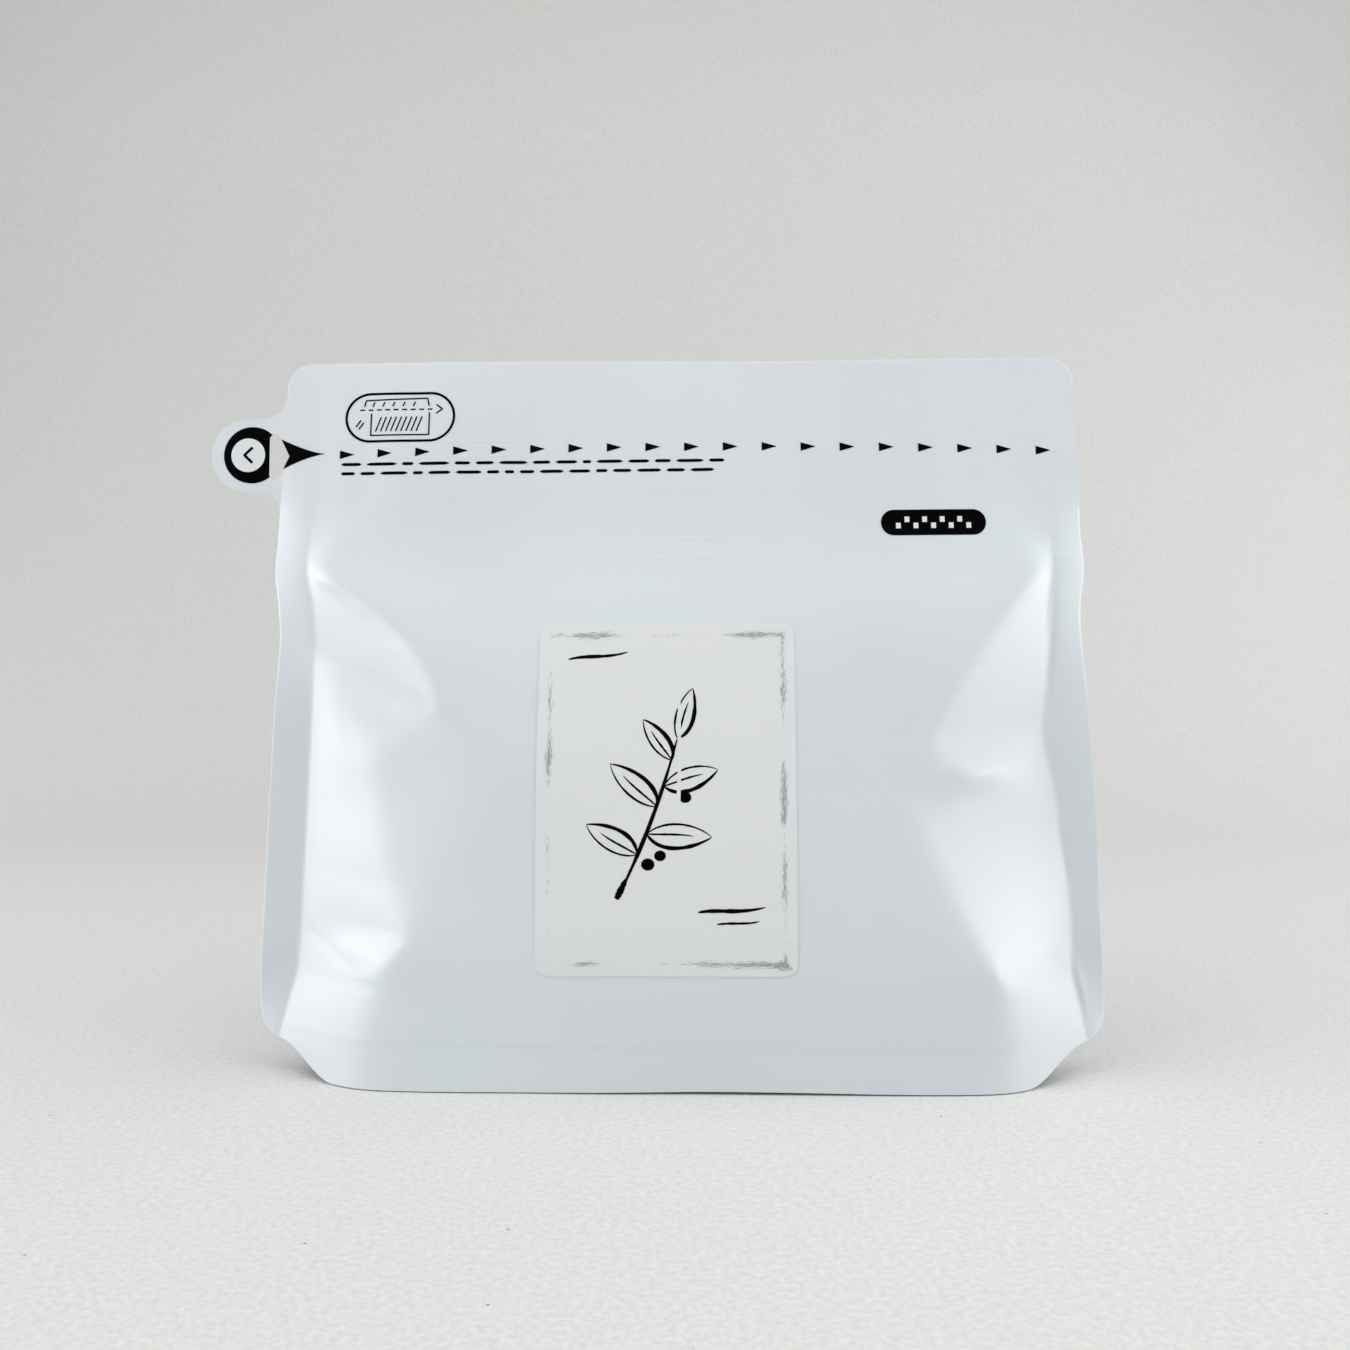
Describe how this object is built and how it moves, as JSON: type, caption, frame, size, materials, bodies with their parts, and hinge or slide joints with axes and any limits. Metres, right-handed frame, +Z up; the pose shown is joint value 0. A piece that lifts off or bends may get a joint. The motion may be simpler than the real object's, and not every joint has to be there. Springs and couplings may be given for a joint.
{
  "type": "coffee bag",
  "caption": "Filled stand-up coffee pouch of matte white film with a zip line, sealed edges, a tear tab, pleated sides, a bottom gusset and a paper front label.",
  "frame": {"origin": "on the surface it stands on, in the flat middle of the gusset, in line with the side ears", "axes": "+X across the front, to the right of someone facing it; +Y towards the back, the front with the label faces -Y; +Z up"},
  "size_m": [0.1783, 0.0353, 0.1414],
  "materials": {
    "laminate": "matte white laminated film with a soft satin sheen",
    "label_paper": "matte coated paper, printed"
  },
  "bodies": {
    "root": {"pouch": "laminate", "label": "label_paper"}
  },
  "joints": []
}
